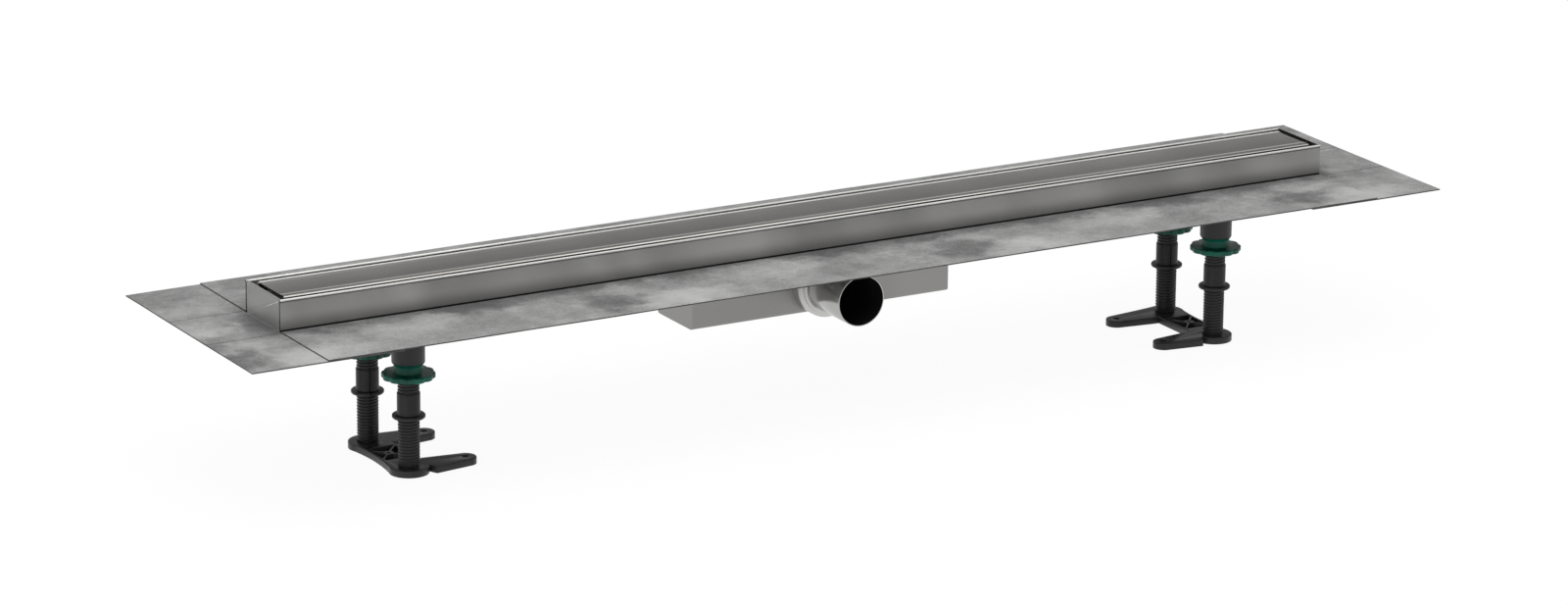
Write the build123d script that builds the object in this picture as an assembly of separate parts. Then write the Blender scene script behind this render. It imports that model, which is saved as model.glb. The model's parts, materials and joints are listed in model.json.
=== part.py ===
from build123d import *
import os
from math import cos, radians, sin, sqrt

# Linear shower drain: a stainless channel with a solid cover plate, a trap under its middle,
# sealing sheets bonded round it, and two pairs of screw-adjusted legs.
# X runs along the channel, Y across it, and the outlet points to -Y.
# The origin is at the middle of the footprint, on the floor. All sizes are in millimetres.

# Frame of the channel
channel_length = 1150.0
channel_width = 74.0
frame_height = 30.0
rail_thickness = 2.0
rail_bead_radius = 1.4
end_plate_thickness = 1.5
end_plate_setback = 0.2
weld_gap = 0.1

# Base plate with its gutter
membrane_height = 153.5
base_sheet = 1.5
long_flange = 12.0
end_flange = 12.0
gutter_width = 48.0
gutter_side_slope = 2.0
gutter_depth_at_end = 2.0
gutter_depth_at_trap = 5.5
gutter_end_margin = 9.0

# Cover plate and the brackets that carry it
slot_width = 6.5
cover_sheet = 1.5
cover_skirt_height = 10.0
cover_bend = 0.9
cover_press_bend = 18.0
cover_border = 10.5
cover_recess = 0.6
cover_crest = 5.0
cover_fall = 0.3
bracket_sheet = 1.5
bracket_width = 25.0
bracket_foot = 6.0
bracket_bend = 1.5
bracket_skirt_gap = 0.3
bracket_box_gap = 7.8
bracket_end_distance = 95.0

# Sealing sheets
sheet_thickness = 1.2
strip_width = 99.0
end_overhang = 76.0
corner_lap = 77.0
end_sheet_margin = 3.5
sheet_gap = 0.3
joint_seal_width = 2.4
joint_seal_height = 0.9

# Trap box and the trap that hangs in it
box_length = 284.4
box_width = 68.0
box_height = 59.8
box_sheet = 1.5
box_fold_radius = 2.0
trap_opening_length = 214.0
trap_opening_width = 40.0
trap_seal_thickness = 1.0
trap_opening_corner = 6.0
trap_rim = 2.6
trap_plastic = 1.8
dip_tube_length = 120.0
dip_tube_width = 18.0
dip_tube_depth = 42.0
cup_clearance = 1.0
cup_base_clearance = 3.0
cup_overflow_drop = 14.0
cup_end_height_length = 12.0
sieve_thickness = 1.0
sieve_border_x = 8.0
sieve_border_y = 5.0
sieve_corner = 5.0
sieve_slot_length = 6.0
sieve_slot_width = 2.4
sieve_slot_pitch = 9.0
sieve_rows = 2

# Outlet
outlet_radius = 25.0
outlet_wall = 1.0
outlet_reach = 109.0
outlet_drop = 33.3
outlet_insertion = 3.0
pipe_neck_relief = 1.4
pipe_shoulder_gap = 0.5
collar_radius = 31.9
collar_body = 11.0
collar_groove = 1.2
collar_lip = 2.2
collar_step_radius = 28.4
collar_step = 3.6
collar_edge = 0.8
collar_bore_gap = 0.1
outlet_seal_width = 5.0
outlet_seal_depth = 2.2
outlet_seal_gap = 0.02

# Legs
leg_end_distance = 127.0
socket_gutter_gap = 0.1
thread_radius = 10.3
thread_clearance = 0.05
travel_down = 14.0
stop_gap = 0.7
socket_radius = 15.7
socket_length = 43.0
socket_web = 6.0
socket_bore_gap = 0.9
nut_neck_radius = 13.3
nut_neck_in_socket = 10.0
nut_neck_showing = 9.9
nut_shoulder_inset = 0.2
nut_shoulder_height = 2.8
nut_bead_height = 2.0
nut_bead_proud = 0.5
nut_turn_gap = 0.3
wheel_radius = 25.3
wheel_thickness = 5.2
wheel_lobes = 12
wheel_lobe_radius = 8.3
wheel_edge = 0.7
stud_radius = 4.0
stud_length = 14.3
stud_nut_across_flats = 13.0
stud_nut_height = 6.5
stud_gap = 0.1

# Spindle and split sleeve
waist_radius = 9.3
sleeve_radius = 10.95
sleeve_height = 20.8
sleeve_bore_gap = 0.1
spindle_tip_chamfer = 1.0
sleeve_slit = 0.8
sleeve_slit_angles = {"front": 60.0, "rear": -103.0}
collar_ring_radius = 15.7
collar_ring_thickness = 3.5
spindle_seat_depth = 4.5
spindle_seat_gap = 0.1

# Foot plates
foot_thickness = 6.6
foot_edge = 0.6
pad_radius = 19.0
bridge_waist = 14.6
bridge_inner_edge = 18.0
arm_hole_reach = 58.7
arm_hole_radius = 3.3
arm_tip_radius = 10.6
arm_root_half_width = 15.6
arm_root_reach = 21.5
notch_depth_x = 4.0
notch_depth_y = 8.0
pocket_floor = 2.0
pocket_wall = 2.6
pocket_half_length = 20.0
rib_thickness = 1.6
bridge_boss_radius = 5.0
bridge_hole_radius = 2.1

# Levels, counted up from the floor
membrane_top = membrane_height
lap_level = membrane_top - sheet_thickness
flange_bottom = lap_level - base_sheet
end_flange_top = lap_level - sheet_thickness
frame_top = membrane_top + frame_height
gutter_floor = lap_level - gutter_depth_at_trap
outlet_level = membrane_top - outlet_drop
box_bottom = flange_bottom - box_height
socket_bottom = flange_bottom - socket_length
wheel_top = socket_bottom - nut_neck_showing
wheel_bottom = wheel_top - wheel_thickness
stud_bottom = flange_bottom - stud_length
sleeve_top = wheel_bottom - travel_down - stop_gap
collar_ring_top = sleeve_top - sleeve_height
waist_bottom = collar_ring_top - collar_ring_thickness
spindle_top = stud_bottom - travel_down - stop_gap
spindle_bottom = foot_thickness - spindle_seat_depth

# Half sizes used by several pieces
gutter_shell_half = gutter_width / 2 + gutter_side_slope + base_sheet
leg_y = gutter_shell_half + socket_gutter_gap + socket_radius
half_length = channel_length / 2
leg_x = half_length - leg_end_distance
half_width = channel_width / 2
rail_inner = half_width - rail_thickness
cover_half_width = rail_inner - slot_width
cover_half_length = half_length - end_plate_setback - end_plate_thickness - slot_width
overall_half_length = half_length + end_overhang
overall_half_width = half_width + joint_seal_width + strip_width
seam_reach = half_width + end_sheet_margin
pipe_neck_radius = outlet_radius - pipe_neck_relief
collar_bore = pipe_neck_radius + collar_bore_gap
collar_end = box_width / 2 + collar_body + collar_groove + collar_lip + collar_step


def block(x0, x1, y0, y1, z0, z1):
    """A box between two corners."""
    middle = ((x0 + x1) / 2, (y0 + y1) / 2, (z0 + z1) / 2)
    return Pos(*middle) * Box(abs(x1 - x0), abs(y1 - y0), abs(z1 - z0))


def along_x(section, length, start):
    """Extrude a section drawn in Y and Z along X."""
    placed = Plane.YZ * section
    return Pos(start, 0, 0) * extrude(placed, length)


def plate(outline, bottom, thickness):
    """Extrude a plan outline upwards."""
    return Pos(0, 0, bottom) * extrude(outline, thickness)


def turned(points):
    """Turn a half profile of (radius, height) points about Z."""
    profile = make_face(Polyline(*[(r, 0, z) for r, z in points], close=True))
    return revolve(profile, Axis.Z)


def mirrored(right):
    """Points of a symmetric line, from those of its right half."""
    return [(-a, b) for a, b in reversed(right)] + right


def folded_sheet(points, bends, sheet):
    """Section of a bent sheet, from the line along its middle."""
    return trace(FilletPolyline(*points, radius=bends), sheet)


def rail(side):
    """Long frame wall with a rolled bead along its top edge."""
    middle = side * (half_width - rail_thickness / 2)
    height = frame_top - lap_level - rail_bead_radius
    wall = Pos(middle, lap_level + height / 2) * Rectangle(rail_thickness, height)
    bead = Pos(middle, frame_top - rail_bead_radius) * Circle(rail_bead_radius)
    return along_x(wall + bead, channel_length, -half_length)


def end_plate(side):
    """Flat end wall that stands between the two rails."""
    outer = half_length - end_plate_setback
    y = rail_inner - weld_gap
    wall = block(outer - end_plate_thickness, outer, -y, y, lap_level, frame_top)
    for rail_side in (-1, 1):
        bead_middle = rail_side * (half_width - rail_thickness / 2)
        relief = Pos(0, bead_middle, frame_top - rail_bead_radius) * Rot(0, 90, 0) * Cylinder(
            rail_bead_radius + weld_gap, 3 * channel_length)
        wall -= relief
    return wall if side > 0 else mirror(wall, Plane.YZ)


def gutter_section(x, depth, wall, top):
    """Trapezoid across the gutter at one place along it, grown by a wall."""
    half_top = gutter_width / 2 + gutter_side_slope + wall
    half_bottom = gutter_width / 2 + wall
    bottom = lap_level - depth - wall
    points = [(-half_top, lap_level), (-half_bottom, bottom), (half_bottom, bottom), (half_top, lap_level)]
    if top > lap_level:
        points += [(half_top, top), (-half_top, top)]
    return Pos(x, 0, 0) * (Plane.YZ * make_face(Polyline(*points, close=True)))


def gutter(wall, top):
    """Gutter body that falls from both ends to the flat stretch over the trap."""
    far = half_length - gutter_end_margin + wall
    near = box_length / 2
    stations = [(-far, gutter_depth_at_end), (-near, gutter_depth_at_trap),
                (near, gutter_depth_at_trap), (far, gutter_depth_at_end)]
    sections = [gutter_section(x, depth, wall, top) for x, depth in stations]
    return loft(sections, ruled=True)


def trap_opening(rim=0.0):
    """Plan of the opening in the gutter floor, grown or shrunk by a rim."""
    return RectangleRounded(trap_opening_length + 2 * rim, trap_opening_width + 2 * rim,
                            trap_opening_corner + rim)


def base_plate():
    """Flanged plate with a falling gutter, and its ends stepped down to take the end sheets."""
    flange = Rectangle(channel_length, channel_width + 2 * long_flange)
    body = plate(flange, flange_bottom, base_sheet)
    for side in (-1, 1):
        web = side * (half_length - base_sheet)
        edge = side * (half_length + end_flange)
        body += block(web, edge, -half_width, half_width, end_flange_top - base_sheet, end_flange_top)
        body += block(web, side * half_length, -half_width, half_width,
                      end_flange_top - base_sheet, flange_bottom)
    body += gutter(base_sheet, lap_level)
    body -= gutter(0, lap_level + 1)
    body -= plate(trap_opening(), gutter_floor - 3 * base_sheet, 6 * base_sheet)
    collar_relief = Rot(90, 0, 0) * Cylinder(collar_radius + weld_gap, long_flange + channel_width)
    reach = box_width / 2 + (long_flange + channel_width) / 2
    body -= Pos(0, -reach, outlet_level) * collar_relief
    return body


def cover_plate():
    """Cover folded from one sheet, with its panel pressed down a little between two rounded borders."""
    y = cover_half_width - cover_sheet / 2
    panel = cover_half_width - cover_border
    crest = cover_half_width - cover_crest
    top = frame_top - cover_sheet / 2
    skirt = frame_top - cover_skirt_height
    right = [(panel, top - cover_recess), (crest, top), (y, top - cover_fall), (y, skirt)]
    bends = [cover_press_bend, cover_press_bend, cover_bend]
    section = folded_sheet(mirrored(right), bends[::-1] + bends, cover_sheet)
    return along_x(section, 2 * cover_half_length, -cover_half_length)


def cover_bracket(x):
    """Bent bridge that stands beside the gutter and carries the cover's panel."""
    outer = cover_half_width - cover_sheet - bracket_skirt_gap
    leg = outer - bracket_sheet / 2
    top = frame_top - cover_recess - cover_sheet - bracket_sheet / 2
    bottom = lap_level + bracket_sheet / 2
    right = [(leg, top), (leg, bottom), (outer + bracket_foot, bottom)]
    section = folded_sheet(mirrored(right), bracket_bend, bracket_sheet)
    return along_x(section, bracket_width, x - bracket_width / 2)


def joint_seal(side):
    """Soft bead in the joint between a rail and its sealing strip."""
    y = side * (half_width + joint_seal_width / 2)
    middle = lap_level + joint_seal_height / 2
    return Pos(0, y, middle) * Box(channel_length, joint_seal_width, joint_seal_height)


def long_sheet(side):
    """Sealing strip along one side, as long as the channel."""
    inner = half_width + joint_seal_width
    return block(-half_length, half_length, side * inner, side * (inner + strip_width),
                 lap_level, membrane_top)


def end_sheet(side):
    """Sealing piece on the stepped flange beyond one end plate, between two corner pieces."""
    y = seam_reach - sheet_gap / 2
    return block(side * (half_length + weld_gap), side * overall_half_length, -y, y,
                 end_flange_top, lap_level)


def corner_sheet(side_x, side_y):
    """Sealing piece that closes a corner, under the strip and butted against the end piece."""
    inner_x = half_length - corner_lap
    flange_x = half_length + sheet_gap
    flange_y = half_width + long_flange + sheet_gap
    seam_y = seam_reach + sheet_gap / 2
    outline = [(inner_x, flange_y), (flange_x, flange_y), (flange_x, seam_y), (overall_half_length, seam_y),
               (overall_half_length, overall_half_width), (inner_x, overall_half_width)]
    placed = [(side_x * a, side_y * b) for a, b in outline]
    return plate(make_face(Polyline(*placed, close=True)), end_flange_top, sheet_thickness)


def trap_box():
    """Open box welded under the base plate, folded along its two long bottom edges."""
    outer = block(-box_length / 2, box_length / 2, -box_width / 2, box_width / 2,
                  box_bottom, flange_bottom)
    long_edges = outer.edges().filter_by(Axis.X).group_by(Axis.Z)[0]
    outer = fillet(long_edges, box_fold_radius + box_sheet)
    x = box_length / 2 - box_sheet
    y = box_width / 2 - box_sheet
    inner = block(-x, x, -y, y, box_bottom + box_sheet, flange_bottom + 1)
    inner_edges = inner.edges().filter_by(Axis.X).group_by(Axis.Z)[0]
    inner = fillet(inner_edges, box_fold_radius)
    wall_hole = Pos(0, -box_width / 2, outlet_level) * Rot(90, 0, 0) * Cylinder(
        collar_bore, 4 * box_sheet)
    return outer - inner - gutter(base_sheet, lap_level) - wall_hole


def trap_seal():
    """Flat rubber frame between the gutter floor and the trap's rim."""
    return plate(trap_opening(trap_rim) - trap_opening(), gutter_floor, trap_seal_thickness)


def trap_insert():
    """Moulded rim plate that rests in the gutter, with the dip tube under it."""
    bottom = gutter_floor + trap_seal_thickness
    mouth = SlotOverall(dip_tube_length, dip_tube_width)
    tube = SlotOverall(dip_tube_length + 2 * trap_plastic, dip_tube_width + 2 * trap_plastic)
    body = plate(trap_opening(trap_rim), bottom, trap_plastic)
    body += plate(tube, bottom - dip_tube_depth, dip_tube_depth)
    body -= plate(mouth, bottom - dip_tube_depth - 1, dip_tube_depth + trap_plastic + 2)
    return body


def trap_cup():
    """Water cup clipped under the insert: tall ends, and low long sides that overflow."""
    top = gutter_floor + trap_seal_thickness
    bottom = box_bottom + box_sheet + cup_base_clearance
    height = top - bottom
    body = plate(trap_opening(-cup_clearance), bottom, height)
    body -= plate(trap_opening(-cup_clearance - trap_plastic), bottom + trap_plastic, height)
    overflow_length = trap_opening_length - 2 * cup_clearance - 2 * cup_end_height_length
    overflow = Rectangle(overflow_length, 2 * trap_opening_width)
    body -= plate(overflow, top - cup_overflow_drop, cup_overflow_drop + 1)
    return body


def hair_sieve():
    """Slotted plate lying on the insert over the dip tube's mouth."""
    bottom = gutter_floor + trap_seal_thickness + trap_plastic
    blank = RectangleRounded(dip_tube_length + 2 * sieve_border_x, dip_tube_width + 2 * sieve_border_y,
                             sieve_corner)
    count = int(dip_tube_length // sieve_slot_pitch)
    row_pitch = dip_tube_width / sieve_rows
    slots = Rot(0, 0, 90) * SlotOverall(sieve_slot_length, sieve_slot_width)
    holes = [Pos(p.position.X, p.position.Y) * slots
             for p in GridLocations(sieve_slot_pitch, row_pitch, count, sieve_rows)]
    return plate(blank - holes, bottom, sieve_thickness)


def on_outlet(points):
    """Turn (radius, distance from the channel's middle) points about the outlet's axis."""
    body = turned(points)
    return Pos(0, 0, outlet_level) * Rot(90, 0, 0) * body


def outlet_collar():
    """Stepped collar welded to the box, with a groove inside for the seal."""
    bore = collar_bore
    wall = box_width / 2
    body_end = wall + collar_body
    lip_start = body_end + collar_groove
    lip_end = lip_start + collar_lip
    step_end = collar_end
    seal_start = wall + (collar_body - outlet_seal_width) / 2
    seal_end = seal_start + outlet_seal_width
    seal_radius = bore + outlet_seal_depth
    points = [(bore, wall), (collar_radius, wall), (collar_radius, body_end - collar_edge),
              (collar_radius - collar_edge, body_end), (collar_radius - collar_edge, lip_start),
              (collar_radius, lip_start + collar_edge), (collar_radius, lip_end - collar_edge),
              (collar_radius - collar_edge, lip_end), (collar_step_radius, lip_end),
              (collar_step_radius, step_end - collar_edge), (collar_step_radius - collar_edge, step_end),
              (bore, step_end), (bore, seal_end), (seal_radius, seal_end), (seal_radius, seal_start),
              (bore, seal_start)]
    return on_outlet(points)


def outlet_seal():
    """Rubber ring in the collar's groove, round the pipe."""
    start = box_width / 2 + (collar_body - outlet_seal_width) / 2
    inner = pipe_neck_radius + outlet_seal_gap
    outer = collar_bore + outlet_seal_depth
    points = [(inner, start), (outer, start), (outer, start + outlet_seal_width),
              (inner, start + outlet_seal_width)]
    return on_outlet(points)


def outlet_pipe():
    """Straight spigot, drawn in to a neck that goes through the collar into the box."""
    start = box_width / 2 - outlet_insertion
    shoulder = collar_end + pipe_shoulder_gap
    inner = outlet_radius - outlet_wall
    neck_inner = pipe_neck_radius - outlet_wall
    points = [(neck_inner, start), (pipe_neck_radius, start), (pipe_neck_radius, shoulder),
              (outlet_radius, shoulder), (outlet_radius, outlet_reach), (inner, outlet_reach),
              (inner, shoulder + outlet_wall), (neck_inner, shoulder + outlet_wall)]
    return on_outlet(points)


def leg_socket():
    """Plastic cup under the base plate: stud hole above, spindle room, and the nut's seat below."""
    spindle_bore = thread_radius + socket_bore_gap
    neck_bore = nut_neck_radius + nut_turn_gap
    seat = socket_bottom + nut_neck_in_socket
    bead_bottom = seat - nut_bead_height - nut_turn_gap
    bead_bore = neck_bore + nut_bead_proud
    web_bottom = flange_bottom - socket_web
    stud_bore = stud_radius + stud_gap
    points = [(stud_bore, flange_bottom), (socket_radius, flange_bottom),
              (socket_radius, socket_bottom), (neck_bore, socket_bottom),
              (neck_bore, bead_bottom), (bead_bore, bead_bottom), (bead_bore, seat),
              (spindle_bore, seat), (spindle_bore, web_bottom), (stud_bore, web_bottom)]
    return turned(points)


def adjusting_nut():
    """Nut with a lobed hand wheel, a shoulder under the socket and a neck that snaps into it."""
    lobe_centre = wheel_radius - wheel_lobe_radius
    outline = Circle(lobe_centre)
    for spot in PolarLocations(lobe_centre, wheel_lobes):
        outline += spot * Circle(wheel_lobe_radius)
    wheel = plate(outline, wheel_bottom, wheel_thickness)
    rims = wheel.edges().group_by(Axis.Z)
    wheel = chamfer(rims[0] + rims[-1], wheel_edge)
    neck_top = socket_bottom + nut_neck_in_socket
    shoulder_top = socket_bottom - nut_turn_gap
    shoulder_radius = socket_radius - nut_shoulder_inset
    neck = turned([(0, wheel_top), (nut_neck_radius, wheel_top),
                   (nut_neck_radius, shoulder_top - nut_shoulder_height),
                   (shoulder_radius, shoulder_top), (nut_neck_radius, shoulder_top),
                   (nut_neck_radius, neck_top - nut_bead_height),
                   (nut_neck_radius + nut_bead_proud, neck_top - nut_bead_height),
                   (nut_neck_radius + nut_bead_proud, neck_top - nut_bead_height / 2),
                   (nut_neck_radius, neck_top), (0, neck_top)])
    height = neck_top - wheel_bottom
    bore = Pos(0, 0, wheel_bottom + height / 2) * Cylinder(thread_radius + thread_clearance, height + 2)
    return wheel + neck - bore


def spindle():
    """Leg screw: two threaded lengths with a plain waist between them."""
    edge = spindle_tip_chamfer
    return turned([(0, spindle_bottom), (thread_radius, spindle_bottom), (thread_radius, waist_bottom),
                   (waist_radius, waist_bottom), (waist_radius, sleeve_top), (thread_radius, sleeve_top),
                   (thread_radius, spindle_top - edge), (thread_radius - edge, spindle_top),
                   (0, spindle_top)])


def stop_sleeve(row):
    """Split sleeve snapped on the waist, with a collar at its foot."""
    bore = waist_radius + sleeve_bore_gap
    body = turned([(bore, waist_bottom), (collar_ring_radius - collar_edge, waist_bottom),
                   (collar_ring_radius, waist_bottom + collar_edge),
                   (collar_ring_radius, collar_ring_top - collar_edge),
                   (collar_ring_radius - collar_edge, collar_ring_top),
                   (sleeve_radius, collar_ring_top), (sleeve_radius, sleeve_top), (bore, sleeve_top)])
    slit_height = sleeve_top - waist_bottom + 2
    slit = Pos(collar_ring_radius, 0, (sleeve_top + waist_bottom) / 2) * Box(
        2 * collar_ring_radius, sleeve_slit, slit_height)
    return body - Rot(0, 0, sleeve_slit_angles[row]) * slit


def foot_arm(side):
    """Plan of one tapering arm with its rounded tip. The front one has a cut beside the pad."""
    tip = Pos(arm_hole_reach, side * leg_y) * Circle(arm_tip_radius)
    run = arm_hole_reach - arm_root_reach
    taper = (arm_root_half_width - arm_tip_radius) / run
    lean = sqrt(1 + taper * taper)
    tip_half = arm_tip_radius * lean
    inner = side * (leg_y - arm_root_half_width)
    outer = side * (leg_y + arm_root_half_width)
    outline = [(0, inner), (arm_root_reach, inner), (arm_hole_reach, side * (leg_y - tip_half)),
               (arm_hole_reach, side * (leg_y + tip_half)), (arm_root_reach, outer)]
    if side < 0:
        outline += [(arm_root_reach - notch_depth_x, outer - side * notch_depth_y), (0, side * leg_y)]
    else:
        outline += [(0, side * (leg_y + pad_radius))]
    return make_face(Polyline(*outline, close=True)) + tip


def foot_plate():
    """Foot under two legs: pads, a ribbed bridge between them, and two arms to screw down."""
    pads = [Pos(0, side * leg_y) * Circle(pad_radius) for side in (-1, 1)]
    waist = ThreePointArc((-pad_radius, -leg_y), (-bridge_waist, 0), (-pad_radius, leg_y))
    rest = Polyline((-pad_radius, leg_y), (bridge_inner_edge, leg_y), (bridge_inner_edge, -leg_y),
                    (-pad_radius, -leg_y))
    bridge = make_face([waist, rest])
    outline = bridge + pads + foot_arm(-1) + foot_arm(1)
    body = plate(outline, 0, foot_thickness)
    body = chamfer(body.edges().group_by(Axis.Z)[-1], foot_edge)
    pocket = Rectangle(bridge_waist + bridge_inner_edge - 2 * pocket_wall, 2 * pocket_half_length)
    pocket = Pos((bridge_inner_edge - bridge_waist) / 2, 0) * pocket
    for side in (-1, 1):
        pocket -= Pos(0, side * leg_y) * Circle(pad_radius + pocket_wall)
    boss = Circle(bridge_boss_radius)
    diagonal = 4 * pocket_half_length
    for angle in (-50, 50):
        boss += Rot(0, 0, angle) * Rectangle(diagonal, rib_thickness)
    body -= plate(pocket - boss, pocket_floor, foot_thickness)
    body -= plate(Circle(bridge_hole_radius), -1, foot_thickness + 2)
    for side in (-1, 1):
        body -= Pos(arm_hole_reach, side * leg_y, 0) * Cylinder(arm_hole_radius, 4 * foot_thickness)
        seat = Circle(thread_radius + spindle_seat_gap)
        body -= Pos(0, side * leg_y, 0) * plate(seat, spindle_bottom, foot_thickness)
    return body


def stud():
    """Stud welded under the base plate."""
    return Pos(0, 0, flange_bottom - stud_length / 2) * Cylinder(stud_radius, stud_length)


def stud_nut():
    """Hexagon nut that holds the socket up on its stud."""
    hexagon = RegularPolygon(stud_nut_across_flats / 2, 6, major_radius=False)
    outline = hexagon - Circle(stud_radius + stud_gap / 2)
    return plate(outline, flange_bottom - socket_web - stud_nut_height, stud_nut_height)


leg_places = {
    ("left", "front"): (-leg_x, -leg_y),
    ("left", "rear"): (-leg_x, leg_y),
    ("right", "front"): (leg_x, -leg_y),
    ("right", "rear"): (leg_x, leg_y),
}


def at_each_leg(piece):
    """One copy of a leg piece for each leg."""
    return [Pos(x, y, 0) * piece for x, y in leg_places.values()]


def build():
    """All the pieces, by node name."""
    parts = {"base_plate": base_plate()}
    parts["front_rail"] = rail(-1)
    parts["rear_rail"] = rail(1)
    parts["left_end_plate"] = end_plate(-1)
    parts["right_end_plate"] = end_plate(1)
    parts["cover_plate"] = cover_plate()
    inner_x = box_length / 2 + bracket_box_gap
    outer_x = half_length - bracket_end_distance
    bracket_places = (-outer_x, -inner_x, inner_x, outer_x)
    for number, x in enumerate(bracket_places, start=1):
        parts["cover_bracket_%d" % number] = cover_bracket(x)
    parts["front_joint_seal"] = joint_seal(-1)
    parts["rear_joint_seal"] = joint_seal(1)
    parts["front_sealing_strip"] = long_sheet(-1)
    parts["rear_sealing_strip"] = long_sheet(1)
    for side_name, side in (("left", -1), ("right", 1)):
        parts[side_name + "_end_sheet"] = end_sheet(side)
        parts[side_name + "_front_corner_sheet"] = corner_sheet(side, -1)
        parts[side_name + "_rear_corner_sheet"] = corner_sheet(side, 1)
    parts["trap_box"] = trap_box()
    parts["trap_seal"] = trap_seal()
    parts["trap_insert"] = trap_insert()
    parts["trap_cup"] = trap_cup()
    parts["hair_sieve"] = hair_sieve()
    parts["outlet_collar"] = outlet_collar()
    parts["outlet_seal"] = outlet_seal()
    parts["outlet_pipe"] = outlet_pipe()
    for (side_name, row), (x, y) in leg_places.items():
        leg = side_name + "_" + row + "_"
        parts[leg + "leg_socket"] = Pos(x, y, 0) * leg_socket()
        parts[leg + "adjusting_nut"] = Pos(x, y, 0) * adjusting_nut()
        parts[leg + "spindle"] = Pos(x, y, 0) * spindle()
        parts[leg + "stop_sleeve"] = Pos(x, y, 0) * stop_sleeve(row)
    foot = foot_plate()
    parts["left_foot_plate"] = Pos(-leg_x, 0, 0) * foot
    parts["right_foot_plate"] = Pos(leg_x, 0, 0) * mirror(foot, Plane.YZ)
    parts["weld_studs"] = Compound(children=at_each_leg(stud()))
    parts["stud_nuts"] = Compound(children=at_each_leg(stud_nut()))
    return parts


def main():
    os.makedirs("parts", exist_ok=True)
    for node, piece in build().items():
        export_step(piece, "parts/%s.step" % node)


if __name__ == "__main__":
    main()
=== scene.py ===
import bmesh
import bpy
import json
import math
from mathutils import Matrix, Vector

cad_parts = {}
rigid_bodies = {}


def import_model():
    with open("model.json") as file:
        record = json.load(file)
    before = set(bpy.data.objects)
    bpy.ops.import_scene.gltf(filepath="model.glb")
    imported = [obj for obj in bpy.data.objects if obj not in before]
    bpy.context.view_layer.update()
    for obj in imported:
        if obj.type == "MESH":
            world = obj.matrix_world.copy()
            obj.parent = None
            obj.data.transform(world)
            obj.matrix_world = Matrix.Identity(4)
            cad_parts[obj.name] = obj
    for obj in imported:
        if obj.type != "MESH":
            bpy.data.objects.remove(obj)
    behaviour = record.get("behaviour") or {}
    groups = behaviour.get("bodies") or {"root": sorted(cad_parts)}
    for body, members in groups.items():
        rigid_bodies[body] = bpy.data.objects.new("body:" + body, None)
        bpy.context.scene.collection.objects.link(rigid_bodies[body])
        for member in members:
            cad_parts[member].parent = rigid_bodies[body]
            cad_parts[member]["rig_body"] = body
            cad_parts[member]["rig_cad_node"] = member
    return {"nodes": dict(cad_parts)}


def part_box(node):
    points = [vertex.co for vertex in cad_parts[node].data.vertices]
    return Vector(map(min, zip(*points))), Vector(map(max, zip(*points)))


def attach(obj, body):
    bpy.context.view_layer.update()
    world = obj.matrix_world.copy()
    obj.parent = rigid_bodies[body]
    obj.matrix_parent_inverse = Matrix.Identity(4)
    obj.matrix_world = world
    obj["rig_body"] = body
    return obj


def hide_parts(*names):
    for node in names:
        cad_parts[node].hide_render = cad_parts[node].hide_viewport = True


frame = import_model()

mm = 0.001
mergeWithin = 0.002 * mm
flatWithin = math.radians(0.5)
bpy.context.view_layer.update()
nodes = frame["nodes"]
legs = [side + "_" + row for side in ("left", "right") for row in ("front", "rear")]


# Small tools for modelling
def deselect():
    if bpy.context.mode != "OBJECT":
        bpy.ops.object.mode_set(mode="OBJECT")
    bpy.ops.object.select_all(action="DESELECT")


def takeUp(piece):
    deselect()
    piece.select_set(True)
    bpy.context.view_layer.objects.active = piece


def openMesh(piece, level="FACE"):      # edit mode with nothing picked
    takeUp(piece)
    bpy.ops.object.mode_set(mode="EDIT")
    bpy.ops.mesh.select_mode(type=level)
    bpy.ops.mesh.select_all(action="DESELECT")


def closeMesh():
    bpy.ops.object.mode_set(mode="OBJECT")


def pick(piece, level, test):           # picks the faces, edges or corners that pass a test
    shape = bmesh.from_edit_mesh(piece.data)
    parts = {"FACE": shape.faces, "EDGE": shape.edges, "VERT": shape.verts}[level]
    for part in parts:
        if test(part):
            part.select_set(True)
    shape.select_flush_mode()
    bmesh.update_edit_mesh(piece.data)


def modify(piece, kind, **settings):    # adds one modifier and applies it
    takeUp(piece)
    step = piece.modifiers.new(kind.title(), kind)
    for name, value in settings.items():
        setattr(step, name, value)
    bpy.ops.object.modifier_apply(modifier=step.name)


def mergeLoose(piece):
    openMesh(piece, "VERT")
    bpy.ops.mesh.select_all(action="SELECT")
    bpy.ops.mesh.remove_doubles(threshold=mergeWithin)
    closeMesh()


def faceOut(piece):
    openMesh(piece)
    bpy.ops.mesh.select_all(action="SELECT")
    bpy.ops.mesh.normals_make_consistent(inside=False)
    closeMesh()


def settle(piece, name, finish, node, smoothAngle, others=()):      # the shaped piece replaces its node
    takeUp(piece)
    bpy.ops.object.transform_apply(location=True, rotation=True, scale=True)
    bpy.ops.object.shade_smooth_by_angle(angle=math.radians(smoothAngle))
    piece.name = name
    piece.data.name = name
    piece.data.materials.clear()
    piece.data.materials.append(finishes[finish])
    for face in piece.data.polygons:
        face.material_index = 0
    for number, (otherFinish, test) in enumerate(others, start=1):      # faces with a finish of their own
        piece.data.materials.append(finishes[otherFinish])
        for face in piece.data.polygons:
            if test(face, [piece.data.vertices[corner].co for corner in face.vertices]):
                face.material_index = number
    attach(piece, nodes[node]["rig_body"])
    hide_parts(node)


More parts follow.
